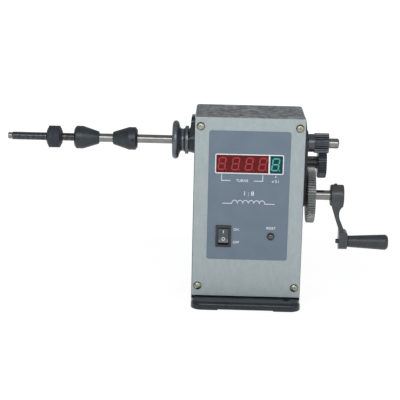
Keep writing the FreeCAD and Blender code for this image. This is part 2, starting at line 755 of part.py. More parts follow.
def drive_pulley():
    """The grooved pulley beside the box: a wide round-edged flange, a round groove and a thin flange."""
    x = PULLEY_X
    end = x + PULLEY_W
    body = turned(
        [
            (x, SHAFT_R),
            (x, PULLEY_R - 3.3),
            ((x + 3.3, PULLEY_R), (x + 6.6, PULLEY_R - 3.3)),
            (x + 7.4, PULLEY_R - 5.4),
            ((x + 10.0, GROOVE_R), (x + 12.6, PULLEY_R - 5.4)),
            (x + 13.1, SMALL_FLANGE_R),
            (end - 0.4, SMALL_FLANGE_R),
            (end, SMALL_FLANGE_R - 0.4),
            (end, SHAFT_R),
        ],
        0,
        SPINDLE_Z,
    )
    return body.cut(rod_z(SPINDLE_Z, SPINDLE_Z + 20, SET_SCREW_R, PULLEY_SCREW_X, 0))


def cone(big_x, towards):
    """A winding cone, its wide end at big_x and its narrow end CONE_L away in the given direction."""
    def at(d):
        return big_x + towards * d

    bore = ARBOR_R + RUNNING_GAP
    body = turned(
        [
            (at(0), bore),
            (at(0), CONE_R - 2.6),
            (at(2.0), CONE_R),
            (at(8.4), CONE_R),
            (at(CONE_L - 0.6), CONE_TIP_R),
            (at(CONE_L), CONE_TIP_R - 0.7),
            (at(CONE_L), bore),
        ],
        0,
        SPINDLE_Z,
    )
    hole = rod_y(-CONE_R - 1, 0, SET_SCREW_R, at(CONE_SCREW_D), SPINDLE_Z)
    return body.cut(hole.cut(rod_x(-250, 0, bore, 0, SPINDLE_Z)))


def grub_screw_y(x, outer_r, inner_r):
    """A grub screw along Y in the side of a round part on the spindle, with a hexagon socket."""
    body = rod_y(-outer_r, -inner_r, SET_SCREW_R, x, SPINDLE_Z)
    return body.cut(hexagon_y(-outer_r - 0.1, -outer_r + 1.5, SOCKET_R, x, SPINDLE_Z))


def grub_screw_z(x, axis_z, outer_r, inner_r):
    """A grub screw along Z in the top of a round part whose axis is at axis_z."""
    body = rod_z(axis_z + inner_r, axis_z + outer_r, SET_SCREW_R, x, 0)
    turns = [math.radians(60 * i) for i in range(6)]
    corners = [(x + SOCKET_R * math.cos(a), SOCKET_R * math.sin(a), axis_z + outer_r + 0.1) for a in turns]
    return body.cut(prism(corners, (0, 0, -1.6)))


def clamp_nut():
    """The round nut on the threaded end, chamfered at both faces."""
    end = NUT_X + NUT_W
    bore = THREAD_R + RUNNING_GAP
    return turned(
        [
            (NUT_X, bore),
            (NUT_X, NUT_R - 4.4),
            (NUT_X + 2.2, NUT_R),
            (end - 2.2, NUT_R),
            (end, NUT_R - 4.4),
            (end, bore),
        ],
        0,
        SPINDLE_Z,
    )


def spindle_pinion(phase):
    """The pinion on the spindle and the plain collar that runs against the boss."""
    teeth = gear_blank(SPINDLE_TEETH, PINION_LEFT_X, PINION_RIGHT_X, 0, SPINDLE_Z, phase)
    collar = rod_x(RIGHT_BOSS_X + 0.7, PINION_LEFT_X, COLLAR_R, 0, SPINDLE_Z)
    bore = rod_x(RIGHT_BOSS_X, PINION_RIGHT_X + 1, SHAFT_R, 0, SPINDLE_Z)
    screw = rod_z(SPINDLE_Z, SPINDLE_Z + COLLAR_R + 1, SET_SCREW_R, COLLAR_SCREW_X, 0)
    return teeth.fuse(collar).cut([bore, screw])


def idler(phases):
    """The two gears of the idler: a long small pinion with a spigot, and the larger gear on it, whose
    right face has a shallow ring and a deep well for the washer and the clip."""
    centre = (IDLER_Y, IDLER_Z)
    small = gear_blank(IDLER_SMALL_TEETH, GEAR_LEFT_X, IDLER_SMALL_RIGHT_X, *centre, phases["idler_small"])
    spigot = rod_x(IDLER_SMALL_RIGHT_X, IDLER_WELL_X, IDLER_SPIGOT_R, *centre)
    stud_bore = rod_x(GEAR_LEFT_X - 1, IDLER_WELL_X + 1, STUD_R + RUNNING_GAP, *centre)
    width = (IDLER_SMALL_RIGHT_X, IDLER_LARGE_RIGHT_X)
    large = gear_blank(IDLER_LARGE_TEETH, *width, *centre, phases["idler_large"])
    large = chamfered(large, IDLER_LARGE_TEETH, *width, *centre, 0.9)
    cuts = [
        ring_x(IDLER_LARGE_RIGHT_X - 1.2, IDLER_LARGE_RIGHT_X + 1, 8.6, 12.6, *centre),
        rod_x(IDLER_WELL_X, IDLER_LARGE_RIGHT_X + 1, IDLER_WELL_R, *centre),
        rod_x(IDLER_SMALL_RIGHT_X - 1, IDLER_LARGE_RIGHT_X + 1, IDLER_SPIGOT_R, *centre),
    ]
    return small.fuse(spigot).cut(stud_bore), large.cut(cuts)


def idler_stud():
    """The fixed stud that the idler turns on, with a groove for its clip."""
    stud = rod_x(SIDE - 8.0, STUD_END_X, STUD_R, IDLER_Y, IDLER_Z)
    return stud.cut(ring_x(CLIP_X, CLIP_X + 0.8, STUD_R - 0.7, STUD_R + 1, IDLER_Y, IDLER_Z))


def stud_clip():
    """The open spring clip in the stud's groove."""
    ring = ring_x(CLIP_X, CLIP_X + 0.8, STUD_R - 0.7, 5.6, IDLER_Y, IDLER_Z)
    mouth = box((CLIP_X - 1, CLIP_X + 2), (IDLER_Y - 1.9, IDLER_Y + 1.9), (IDLER_Z - 8, IDLER_Z))
    return ring.cut(mouth)


def crank_gear(phase):
    """The large gear on the crankshaft, with a thinned web between rim and hub."""
    right = GEAR_LEFT_X + CRANK_GEAR_W
    blank = gear_blank(CRANK_TEETH, GEAR_LEFT_X, right, 0, CRANK_Z, phase)
    blank = chamfered(blank, CRANK_TEETH, GEAR_LEFT_X, right, 0, CRANK_Z, 0.9)
    cuts = [
        ring_x(right - 2.2, right + 1, 11.5, 23.2, 0, CRANK_Z),
        rod_x(GEAR_LEFT_X - 1, right + 1, SHAFT_R, 0, CRANK_Z),
    ]
    return blank.cut(cuts)


def crank_shaft():
    """The bar that the crank turns, chamfered at both ends."""
    return turned(
        [
            (CRANK_SHAFT_LEFT_X, 0),
            (CRANK_SHAFT_LEFT_X, SHAFT_R - 0.8),
            (CRANK_SHAFT_LEFT_X + 0.8, SHAFT_R),
            (HUB_RIGHT_X - 0.6, SHAFT_R),
            (HUB_RIGHT_X, SHAFT_R - 0.6),
            (HUB_RIGHT_X, 0),
        ],
        0,
        CRANK_Z,
    )


def smooth_outline(stretches):
    """A closed flat face from stretches of points. Two points make a line, more make a smooth curve, and
    each stretch starts where the one before it ends."""
    edges = []
    for points in stretches:
        if len(points) == 2:
            edges.append(Part.LineSegment(*points).toShape())
        else:
            curve = Part.BSplineCurve()
            curve.interpolate(points)
            edges.append(curve.toShape())
    return Part.Face(Part.Wire(edges))


def crank_blade():
    """The flat blade of the arm, which sets outwards towards the eye and is waisted across."""
    left = [(82.0, 43.5), (82.6, 40.5), (84.8, 33.5), (88.0, 23.6), (EYE_LEFT_X, 12.2)]
    right = [(97.3, EYE_TOP), (93.0, 22.2), (91.4, 29.0), (92.5, 34.6), (95.0, 37.5)]

    def seen_from_front(points):
        return [V(x, -15.0, HANDLE_Z + h) for x, h in points]

    side_view = smooth_outline(
        [
            seen_from_front(left),
            seen_from_front([left[-1], (EYE_LEFT_X, 5.0)]),
            seen_from_front([(EYE_LEFT_X, 5.0), (97.3, 5.0)]),
            seen_from_front([(97.3, 5.0), right[0]]),
            seen_from_front(right),
            seen_from_front([right[-1], (95.0, CRANK_RADIUS)]),
            seen_from_front([(95.0, CRANK_RADIUS), (82.0, CRANK_RADIUS)]),
            seen_from_front([(82.0, CRANK_RADIUS), left[0]]),
        ]
    ).extrude(V(0, 30.0, 0))

    waist = [(9.6, CRANK_RADIUS), (9.0, 40.0), (6.5, 25.0), (EYE_R, 5.0)]
    near, far = ([V(HUB_LEFT_X - 1, side * y, HANDLE_Z + h) for y, h in waist] for side in (-1, 1))
    across = smooth_outline([near, [near[-1], far[-1]], far[::-1], [far[0], near[0]]])
    return side_view.common(across.extrude(V(30.0, 0, 0)))


def crank_eye():
    """The thick end of the arm, round below and square above, with its outer edges rounded."""
    width = (EYE_LEFT_X, EYE_RIGHT_X)
    block = box(width, (-EYE_R, EYE_R), (HANDLE_Z, HANDLE_Z + EYE_TOP))
    eye = block.fuse(rod_x(*width, EYE_R, 0, HANDLE_Z)).removeSplitter()
    shoulder = [e for e in eye.Edges if e.CenterOfMass.z > HANDLE_Z + EYE_TOP - 0.01]
    eye = eye.makeFillet(3.5, [e for e in shoulder if e.CenterOfMass.x > EYE_RIGHT_X - 0.01])
    return eye.makeFillet(1.0, [e for e in eye.Edges if e.CenterOfMass.x > EYE_RIGHT_X - 0.01])


def crank_arm():
    """The cast arm: round hub, waisted blade, and the eye for the handle."""
    hub = rod_x(HUB_LEFT_X, HUB_RIGHT_X, HUB_R, 0, CRANK_Z)
    hub = hub.makeFillet(1.3, [e for e in hub.Edges if e.CenterOfMass.x > HUB_RIGHT_X - 0.01])
    hub = hub.makeFillet(2.0, [e for e in hub.Edges if e.CenterOfMass.x < HUB_LEFT_X + 0.01])
    bores = [
        rod_x(HUB_LEFT_X - 1, HUB_RIGHT_X + 1, SHAFT_R, 0, CRANK_Z),
        rod_x(EYE_LEFT_X - 1, EYE_RIGHT_X + 1, PIN_R, 0, HANDLE_Z),
        rod_z(CRANK_Z, CRANK_Z + 14, SET_SCREW_R, HUB_SCREW_X, 0),
    ]
    return crank_blade().fuse([hub, crank_eye()]).cut(bores)


def handle_pin():
    """The shouldered pin that the grip turns on, with a slotted head in the grip's end."""
    head_x = GRIP_RIGHT_X - 2.6
    pin = turned(
        [
            (PIN_LEFT_X, 0),
            (PIN_LEFT_X, PIN_R - 0.5),
            (PIN_LEFT_X + 0.5, PIN_R),
            (head_x, PIN_R),
            (head_x, 3.2),
            (head_x + 1.6, 3.2),
            (head_x + 2.0, 2.8),
            (head_x + 2.0, 0),
        ],
        0,
        HANDLE_Z,
    )
    return pin.cut(box((head_x + 1.1, head_x + 3), (-4, 4), (HANDLE_Z - 0.4, HANDLE_Z + 0.4)))


def handle_grip():
    """The turned grip, widening towards a rounded end with a recess for the pin's head."""
    x0 = EYE_RIGHT_X + 0.4
    bore = PIN_R + RUNNING_GAP
    return turned(
        [
            (x0, bore),
            (x0, 5.3),
            (x0 + 0.5, 5.8),
            (GRIP_RIGHT_X - 4.0, 7.7),
            ((GRIP_RIGHT_X - 1.05, 6.65), (GRIP_RIGHT_X, 3.9)),
            (GRIP_RIGHT_X, 3.4),
            (GRIP_RIGHT_X - 2.8, 3.4),
            (GRIP_RIGHT_X - 2.8, bore),
        ],
        0,
        HANDLE_Z,
    )


def main():
    os.makedirs("parts", exist_ok=True)
    phases = mesh_phases()
    screw_places = [(x, z) for x in (-SCREW_X, SCREW_X) for z in SCREW_Z]

    save("housing", housing())
    save("front_panel", front_panel())
    save("panel_label", panel_label())
    save("panel_screws", *[pan_head_screw(x, z, PANEL_FACE, 12.0) for x, z in screw_places])

    red_body, red_bars = display(RED_X, DIGIT_X[:4])
    green_body, green_bars = display(GREEN_X, DIGIT_X[4:])
    save("count_display", red_body)
    save("count_display_segments", *red_bars)
    save("tenths_display", green_body)
    save("tenths_display_segments", *green_bars)

    save("power_switch_body", switch_body())
    save("power_switch_terminals", *switch_terminals())
    save("power_switch_rocker", switch_rocker())
    save("reset_button_body", reset_body())
    save("reset_button", reset_plunger())

    board, spacers, board_screws, chip = board_parts()
    save("counter_board", board)
    save("board_spacers", *spacers)
    save("board_screws", *board_screws)
    save("counter_chip", chip)
    core, coil, core_screws = transformer()
    save("transformer_core", core)
    save("transformer_coil", coil)
    save("transformer_screws", *core_screws)
    sensor, bracket = turn_sensor()
    save("turn_sensor", sensor)
    save("sensor_bracket", bracket)
    save("cable_grommet", cable_grommet())

    left_bush = ring_x(LEFT_BOSS_X, -INNER_BOSS_X, SHAFT_R + RUNNING_GAP, BUSH_R, 0, SPINDLE_Z)
    right_bush = ring_x(INNER_BOSS_X, RIGHT_BOSS_X, SHAFT_R + RUNNING_GAP, BUSH_R, 0, SPINDLE_Z)
    crank_bush = ring_x(CRANK_BUSH_LEFT_X, RIGHT_BOSS_X, SHAFT_R + RUNNING_GAP, BUSH_R, 0, CRANK_Z)
    save("spindle_bush_left", left_bush)
    save("spindle_bush_right", right_bush)
    save("crankshaft_bush", crank_bush)
    save("idler_stud", idler_stud())
    save("idler_washer", ring_x(*WASHER_X, STUD_R + RUNNING_GAP, 5.8, IDLER_Y, IDLER_Z))
    save("idler_clip", stud_clip())

    save("spindle_shaft", spindle_shaft())
    save("drive_pulley", drive_pulley())
    save("pulley_set_screw", grub_screw_z(PULLEY_SCREW_X, SPINDLE_Z, 10.4, SHAFT_R))
    save("spindle_pinion", spindle_pinion(phases["spindle"]))
    save("pinion_set_screw", grub_screw_z(COLLAR_SCREW_X, SPINDLE_Z, COLLAR_R - 0.3, SHAFT_R))
    save("encoder_disc", encoder_disc())

    small, large = idler(phases)
    save("idler_pinion", small)
    save("idler_gear", large)

    save("crank_gear", crank_gear(phases["crank"]))
    save("crank_shaft", crank_shaft())
    collar_x = (CRANK_SHAFT_LEFT_X + 1.0, CRANK_BUSH_LEFT_X - 0.4)
    save("crank_shaft_collar", ring_x(*collar_x, SHAFT_R, 9.0, 0, CRANK_Z))
    save("crank_arm", crank_arm())
    save("crank_arm_set_screw", grub_screw_z(HUB_SCREW_X, CRANK_Z, 11.9, SHAFT_R))
    save("handle_pin", handle_pin())
    save("handle_grip", handle_grip())

    save("clamp_nut", clamp_nut())
    save("left_cone", cone(LEFT_CONE_X, 1))
    save("right_cone", cone(RIGHT_CONE_X, -1))
    screw_ends = (CONE_R - 0.5, ARBOR_R + RUNNING_GAP)
    save("left_cone_set_screw", grub_screw_y(LEFT_CONE_X + CONE_SCREW_D, *screw_ends))
    save("right_cone_set_screw", grub_screw_y(RIGHT_CONE_X - CONE_SCREW_D, *screw_ends))


main()
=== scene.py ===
"""Looks for the hand-crank coil winder: materials, printed marks, thread, knurling, lights and camera."""

import json
import math

import bmesh
import bpy
from mathutils import Matrix, Vector

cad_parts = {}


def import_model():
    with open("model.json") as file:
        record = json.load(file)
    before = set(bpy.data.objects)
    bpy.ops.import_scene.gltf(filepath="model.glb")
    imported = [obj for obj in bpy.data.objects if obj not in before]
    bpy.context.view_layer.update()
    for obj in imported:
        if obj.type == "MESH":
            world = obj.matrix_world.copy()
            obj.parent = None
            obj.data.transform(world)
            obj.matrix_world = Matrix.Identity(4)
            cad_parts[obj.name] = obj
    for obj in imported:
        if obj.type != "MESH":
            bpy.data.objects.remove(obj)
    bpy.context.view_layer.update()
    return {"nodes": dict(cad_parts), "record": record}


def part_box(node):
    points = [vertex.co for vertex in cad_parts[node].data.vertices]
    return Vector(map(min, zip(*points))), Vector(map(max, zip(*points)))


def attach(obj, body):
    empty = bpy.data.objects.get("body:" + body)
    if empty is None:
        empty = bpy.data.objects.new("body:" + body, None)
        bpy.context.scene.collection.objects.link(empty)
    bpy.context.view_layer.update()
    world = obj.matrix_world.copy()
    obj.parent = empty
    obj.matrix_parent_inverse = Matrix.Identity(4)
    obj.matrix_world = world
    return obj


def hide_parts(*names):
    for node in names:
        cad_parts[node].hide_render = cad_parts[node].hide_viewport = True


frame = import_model()
MM = 0.001

# Camera, from a fit to the panel's corners in the photograph
CAMERA_PLACE = Vector((-0.0283, -1.2411, 0.3937))
CAMERA_YAW = math.radians(-0.88)
CAMERA_PITCH = math.radians(13.48)
CAMERA_ROLL = math.radians(1.28)
FOCAL_PIXELS = 1277.5
IMAGE_PIXELS = 400
SENSOR = 36.0
CLIP = (0.05, 50)

# Places taken from the frame
LABEL_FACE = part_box("panel_label")[0].y
PANEL_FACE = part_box("front_panel")[0].y
RED_LOW, RED_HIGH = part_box("count_display")
GREEN_LOW, GREEN_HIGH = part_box("tenths_display")
BUTTON_LOW, BUTTON_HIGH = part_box("reset_button")
SWITCH_LOW, SWITCH_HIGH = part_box("power_switch_body")

# Printed marks, with their places along X and Z on the panel
INK_H = 0.05 * MM
FRAME_LINE = 1.0 * MM
FRAME_CORNER = 1.2 * MM
FRAME_INSET = 0.3 * MM
LINE_W = 0.6 * MM
BRACKET_X = (-26.4 * MM, 13.3 * MM)
BRACKET_Z = (125.2 * MM, 131.0 * MM)
BRACKET_TURN = 8.6 * MM
TICK_X = 25.8 * MM
TICK_L = 2.2 * MM
RATIO_Z = 112.6 * MM
COIL_SIGN_Z = 102.6 * MM
COIL_SIGN_HALF = 25.5 * MM
COIL_SIGN_LOOPS = 6
COIL_ROW_W = COIL_SIGN_HALF * 1.25
COIL_LOOP_RISE = 0.62
COIL_LOOP_STEPS = 10
CAPTION_H = 2.7 * MM
RATIO_H = 4.4 * MM
CONTROL_MARK_H = 2.5 * MM
SWITCH_MARK_X = -10.8 * MM
ON_MARK_UP = 6.6 * MM
OFF_MARK_DOWN = 6.2 * MM
RESET_MARK_UP = 5.6 * MM
FONT_SIZE = 1.38  # for each unit of letter height
FONT_WEIGHT = 0.012
# Places and sizes of the painted shadow rings round the panel screws
SCREW_X = (-47.5 * MM, 47.5 * MM)
SCREW_Z = (18.4 * MM, 177.6 * MM)
SCREW_RING_R = 3.75 * MM
SCREW_RING_W = 0.5 * MM
SCREW_RING_STEPS = 32
MITRE_LIMIT = 0.5

# Spindle bar, along X
SPINDLE_Z = 157.0 * MM
TIP_R = 3.2 * MM
TIP_CHAMFER = 0.5 * MM
THREAD_R = 4.0 * MM
ARBOR_R = 4.25 * MM
SHAFT_R = 5.0 * MM
SHAFT_CHAMFER = 1.2 * MM
GROOVE_R = 4.7 * MM
GROOVE_X = (78.3 * MM, 79.3 * MM)
THREAD_LEFT_X = -234.5 * MM
ARBOR_LEFT_X = -170.0 * MM
ARBOR_RIGHT_X = -75.8 * MM
THREAD_PITCH = 1.25 * MM
THREAD_DEPTH = 0.4 * MM
THREAD_CHAMFER = 0.7 * MM
THREAD_SHAPE = ((0.0, 0.0), (0.34, 0.0), (0.6, 1.0), (0.74, 1.0))
BAR_STEPS = 32

# Clamp nut's knurl
NUT_BORE_R = 4.05 * MM
NUT_CHAMFER = (2.2 * MM, 4.4 * MM)
KNURL_TEETH = 54
KNURL_DEPTH = 0.15 * MM
KNURL_ROWS = 36
KNURL_STEPS = 4 * KNURL_TEETH

# Rocker, whose face is a shallow hollow between two lips
ROCKER_TILT = math.radians(-8)
ROCKER_PIVOT = Vector((-23.3 * MM, -34.4 * MM, 69.7 * MM))
ROCKER_LIP = 6.4 * MM
ROCKER_DIP = 1.5 * MM
ROCKER_HALF = 7.2 * MM
ROCKER_INK_H = 0.04 * MM

# Stage. Each light has its place, size and power. SKY holds levels from straight down to straight up, and
# SHADOW_FADE how the floor's white grows outwards.
LIGHT_AIM = (0, 0, 0.15)
KEY_LIGHT = ((-0.07, -0.62, 0.5), (0.75, 0.28), 2.5)
FILL_LIGHT = ((0.95, -0.75, 0.45), (0.6, 0.6), 1.8)
SKY = ((0.0, 0.3), (0.4, 0.4), (0.5, 0.7), (0.56, 0.65), (0.7, 0.42), (1.0, 0.42))
SKY_TINT = (0.95, 0.975, 1.0)
SHADOW_FADE = (0.22, 0.5, 0.84, 1.0)
FLOOR_HALF = 40.0
FLOOR_DROP = 0.1 * MM
FLOOR_GREY = 0.85
FLOOR_GLOW = 1.1


# Shader helpers


class Shade:
    """One material with a principled surface, built up by its methods."""

    def __init__(self, name, **inputs):
        self.material = bpy.data.materials.new(name)
        self.material.use_nodes = True
        self.tree = self.material.node_tree
        self.surface = self.tree.nodes["Principled BSDF"]
        for key, value in inputs.items():
            self.set(key.replace("_", " "), value)

    def set(self, socket, value):
        """Writes a constant on the surface's own socket."""
        names = {s.name.lower(): s.name for s in self.surface.inputs}
        target = self.surface.inputs[names[socket.lower()]]
        if isinstance(value, tuple) and len(value) == 3:
            value = (*value, 1.0)
        target.default_value = value

    def node(self, kind, **settings):
        made = self.tree.nodes.new(kind)
        for key, value in settings.items():
            setattr(made, key, value)
        return made

    def link(self, a, b):
        self.tree.links.new(a, b)

    def place(self, stretch=(1, 1, 1)):
        """Object coordinates in metres, scaled along each axis."""
        coords = self.node("ShaderNodeTexCoord")
        mapping = self.node("ShaderNodeMapping")
        mapping.inputs["Scale"].default_value = stretch
        self.link(coords.outputs["Object"], mapping.inputs["Vector"])
        return mapping.outputs["Vector"]

    def noise(self, scale, detail=4.0, rough=0.55, stretch=(1, 1, 1)):
        made = self.node("ShaderNodeTexNoise")
        made.inputs["Scale"].default_value = scale
        made.inputs["Detail"].default_value = detail
        made.inputs["Roughness"].default_value = rough
        self.link(self.place(stretch), made.inputs["Vector"])
        return made.outputs["Fac"]

    def cells(self, scale, stretch=(1, 1, 1)):
        made = self.node("ShaderNodeTexVoronoi")
        made.inputs["Scale"].default_value = scale
        self.link(self.place(stretch), made.inputs["Vector"])
        return made.outputs["Distance"]

    def ramp(self, source, *stops):
        """Colours or values along a source from 0 to 1."""
        made = self.node("ShaderNodeValToRGB")
        elements = made.color_ramp.elements
        while len(elements) < len(stops):
            elements.new(0.5)
        for element, (at, colour) in zip(elements, stops):
            element.position = at
            element.color = (*colour, 1.0) if isinstance(colour, tuple) else (colour, colour, colour, 1.0)
        self.link(source, made.inputs["Fac"])
        return made.outputs["Color"]

    def drive(self, source, socket):
        self.link(source, self.surface.inputs[socket])

    def blend(self, factor, first, second):
        """Mixes two varying colours."""
        made = self.node("ShaderNodeMix", data_type="RGBA")
        self.link(factor, made.inputs["Factor"])
        self.link(first, made.inputs["A"])
        self.link(second, made.inputs["B"])
        return made.outputs["Result"]

    def bump(self, *heights, edge=0.0):
        """Bumps from (source, depth in metres) pairs, over a softened edge of the given radius."""
        normal = None
        if edge:
            bevel = self.node("ShaderNodeBevel", samples=6)
            bevel.inputs["Radius"].default_value = edge
            normal = bevel.outputs["Normal"]
        for source, depth in heights:
            made = self.node("ShaderNodeBump")
            made.inputs["Strength"].default_value = 1.0
            made.inputs["Distance"].default_value = depth
            self.link(source, made.inputs["Height"])
            if normal:
                self.link(normal, made.inputs["Normal"])
            normal = made.outputs["Normal"]
        self.link(normal, self.surface.inputs["Normal"])
        return self

    def above(self, height, soft=0.0004):
        """A mask that is 1 above a height in the row frame."""
        coords = self.node("ShaderNodeTexCoord")
        parts = self.node("ShaderNodeSeparateXYZ")
        self.link(coords.outputs["Object"], parts.inputs["Vector"])
        band = self.node("ShaderNodeMapRange")
        band.inputs["From Min"].default_value = height - soft
        band.inputs["From Max"].default_value = height + soft
        self.link(parts.outputs["Z"], band.inputs["Value"])
        return band.outputs["Result"]


def cast_body():
    """Glossy dark paint over a rough casting. The top face is given a far paler speckled grey: the speckle
    is the casting's grain, the paler tone a painted sheen standing for light off the top.
    """
    s = Shade("cast_body", roughness=0.3, specular_ior_level=0.35, coat_weight=0.06, coat_roughness=0.12)
    below_top = 0.4 * MM
    mask = s.above(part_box("housing")[1].z - below_top)
    paint = s.ramp(s.noise(90, 5), (0.3, (0.008, 0.012, 0.017)), (0.7, (0.018, 0.024, 0.032)))
    # painted sheen: the top face takes a far paler speckled colour than the painted sides; the speckle is
    # grain
    top_grain_and_sheen = s.ramp(
        s.noise(260, 6, 0.7, stretch=(0.7, 1.2, 1)),
        (0.36, (0.035, 0.04, 0.042)),
        (0.5, (0.145, 0.159, 0.166)),
        (0.62, (0.35, 0.372, 0.385)),
    )
    s.drive(s.blend(mask, paint, top_grain_and_sheen), "Base Color")
    s.drive(s.ramp(mask, (0.0, 0.26), (1.0, 0.62)), "Roughness")
    return s.bump((s.noise(260, 6), 0.00022), (s.noise(70, 2), 0.0004), edge=0.0008).material


def panel_paint():
    s = Shade("panel_paint", roughness=0.42)
    grain = s.noise(260, 8, 0.9, stretch=(1, 1, 0.5))
    s.drive(s.ramp(grain, (0.3, (0.316, 0.369, 0.383)), (0.7, (0.426, 0.48, 0.494))), "Base Color")
    s.drive(s.ramp(s.noise(900, 2), (0.3, 0.36), (0.7, 0.5)), "Roughness")
    return s.bump((s.noise(1500, 3, stretch=(1, 1, 0.3)), 0.00003), edge=0.0003).material


def label_film():
    s = Shade("label", roughness=0.45)
    s.drive(s.ramp(s.noise(60, 3), (0.3, (0.132, 0.175, 0.228)), (0.7, (0.15, 0.196, 0.25))), "Base Color")
    return s.bump((s.noise(2600, 2), 0.000012)).material


def white_ink():
    s = Shade("white_ink", roughness=0.5)
    s.drive(s.ramp(s.noise(1200, 3), (0.3, (0.7, 0.74, 0.77)), (0.6, (0.8, 0.83, 0.85))), "Base Color")
    return s.bump((s.noise(4000, 2), 0.000005)).material


def plated_screw():
    """Zinc plating, with a painted shade on each head's rim where it turns away from the front."""
    s = Shade("screw_plated", metallic=1.0, roughness=0.3)
    facing = s.node("ShaderNodeSeparateXYZ")
    s.link(s.node("ShaderNodeNewGeometry").outputs["Normal"], facing.inputs["Vector"])
    bright = s.ramp(s.noise(900, 4), (0.35, (0.24, 0.245, 0.17)), (0.65, (0.5, 0.515, 0.42)))
    # a darker copy of the zinc colour, for the painted shade on the rim
    painted_shade_rim = s.ramp(s.noise(420, 4), (0.3, (0.05, 0.05, 0.03)), (0.7, (0.12, 0.12, 0.075)))
    rim, face = -0.72, -0.94
    front = s.node("ShaderNodeMapRange")
    front.inputs["From Min"].default_value = rim
    front.inputs["From Max"].default_value = face
    s.link(facing.outputs["Y"], front.inputs["Value"])
    # painted shade: the head's rim, turned away from the front, gets the darker copy of the zinc
    s.drive(s.blend(front.outputs["Result"], painted_shade_rim, bright), "Base Color")
    return s.bump((s.noise(1800, 3), 0.00003), edge=0.0002).material


def window(name, dark, light):
    """The face of a display module: dark, glossy, faintly clouded."""
    s = Shade(name, roughness=0.3, specular_ior_level=0.2)
    s.drive(s.ramp(s.noise(140, 3), (0.3, dark), (0.7, light)), "Base Color")
    return s.bump((s.noise(500, 2), 0.00001)).material


def painted_glow_bar(name, low, high, painted_glow):
    """An unlit digit bar of milky plastic that glows faintly with painted light."""
    s = Shade(name, roughness=0.4)
    colour = s.ramp(s.noise(700, 2), (0.3, low), (0.7, high))
    s.drive(colour, "Base Color")
    s.drive(colour, "Emission Color")
    # painted glow: the unlit bar emits its own colour faintly
    s.set("emission strength", painted_glow)
    return s.bump((s.noise(3000, 2), 0.00001)).material


def plastic(name, low, high, rough, grain=0.00003, scale=2400):
    s = Shade(name, roughness=rough)
    s.drive(s.ramp(s.noise(110, 3), (0.3, low), (0.7, high)), "Base Color")
    s.drive(s.ramp(s.noise(300, 3), (0.3, rough - 0.06), (0.7, rough + 0.06)), "Roughness")
    return s.bump((s.noise(scale, 3), grain), edge=0.0003).material


def gloss_plastic(name, low, high):
    s = Shade(name, roughness=0.08, specular_ior_level=0.8, coat_weight=1.0, coat_roughness=0.04)
    s.drive(s.ramp(s.noise(110, 3), (0.3, low), (0.7, high)), "Base Color")
    return s.bump((s.noise(2400, 3), 0.000001)).material


def turned_metal(name, low, high, rough, metallic=1.0, lines=0.000006, edge=0.0002):
    """Metal turned about an axis along X, with fine rings from the tool."""
    s = Shade(name, metallic=metallic, roughness=rough)
    s.drive(s.ramp(s.noise(160, 4), (0.3, low), (0.7, high)), "Base Color")
    rings = s.noise(1, 3, stretch=(5200, 12, 12))
    s.drive(s.ramp(rings, (0.25, rough - 0.05), (0.75, rough + 0.06)), "Roughness")
    return s.bump((rings, lines), (s.noise(240, 4), 0.000002), edge=edge).material


def threaded_steel():
    """Oiled black thread, with a painted highlight along its crests."""
    s = Shade("threaded_steel", metallic=0.9, roughness=0.2)
    dark = s.ramp(s.noise(300, 4), (0.3, (0.02, 0.021, 0.023)), (0.7, (0.04, 0.042, 0.045)))
    # paler steel for the painted highlight along the thread's crests
    painted_highlight = s.ramp(s.noise(300, 3), (0.3, (0.1, 0.102, 0.106)), (0.7, (0.19, 0.193, 0.198)))
    crest = s.ramp(s.node("ShaderNodeNewGeometry").outputs["Pointiness"], (0.49, 0.0), (0.54, 1.0))
    s.drive(s.blend(crest, dark, painted_highlight), "Base Color")
    return s.bump((s.noise(900, 3), 0.000004)).material


def gear_metal(name, low, high, highlight_low, highlight_high, metallic=0.75, rough=0.38):
    """Blackened gear steel, with a painted highlight on its sharp outer edges."""
    s = Shade(name, metallic=metallic, roughness=rough)
    base = s.ramp(s.noise(200, 5), (0.3, low), (0.7, high))
    edges = s.node("ShaderNodeNewGeometry").outputs["Pointiness"]
    painted_highlight = s.ramp(s.noise(500, 5), (0.3, highlight_low), (0.7, highlight_high))
    # painted highlight: convex tooth edges take the paler steel colour
    s.drive(s.blend(s.ramp(edges, (0.52, 0.0), (0.62, 0.8)), base, painted_highlight), "Base Color")
    return s.bump((s.noise(700, 4), 0.00001), edge=0.00015).material


def laminate(name, low, high):
    s = Shade(name, roughness=0.35)
    s.drive(s.ramp(s.cells(260), (0.2, low), (0.6, high)), "Base Color")
    return s.bump((s.noise(1500, 3), 0.00003)).material


DARK_STEEL = ((0.026, 0.032, 0.04), (0.042, 0.051, 0.062))
NUT_STEEL = ((0.02, 0.025, 0.035), (0.033, 0.041, 0.056))
PALE_BLUED = ((0.11, 0.127, 0.143), (0.155, 0.176, 0.196))
BLUED_STEEL = ((0.06, 0.069, 0.084), (0.1, 0.113, 0.135))
# The next two colours are painted highlights, laid on the sharp edges of gear teeth.
BLUED_HIGHLIGHT = ((0.06, 0.068, 0.08), (0.13, 0.14, 0.155))
TOOTH_HIGHLIGHT_STEEL = ((0.2, 0.207, 0.205), (0.5, 0.51, 0.5))
GROUND_STEEL = ((0.2, 0.198, 0.192), (0.27, 0.268, 0.26))
BRIGHT_STEEL = ((0.4, 0.39, 0.375), (0.55, 0.54, 0.52))

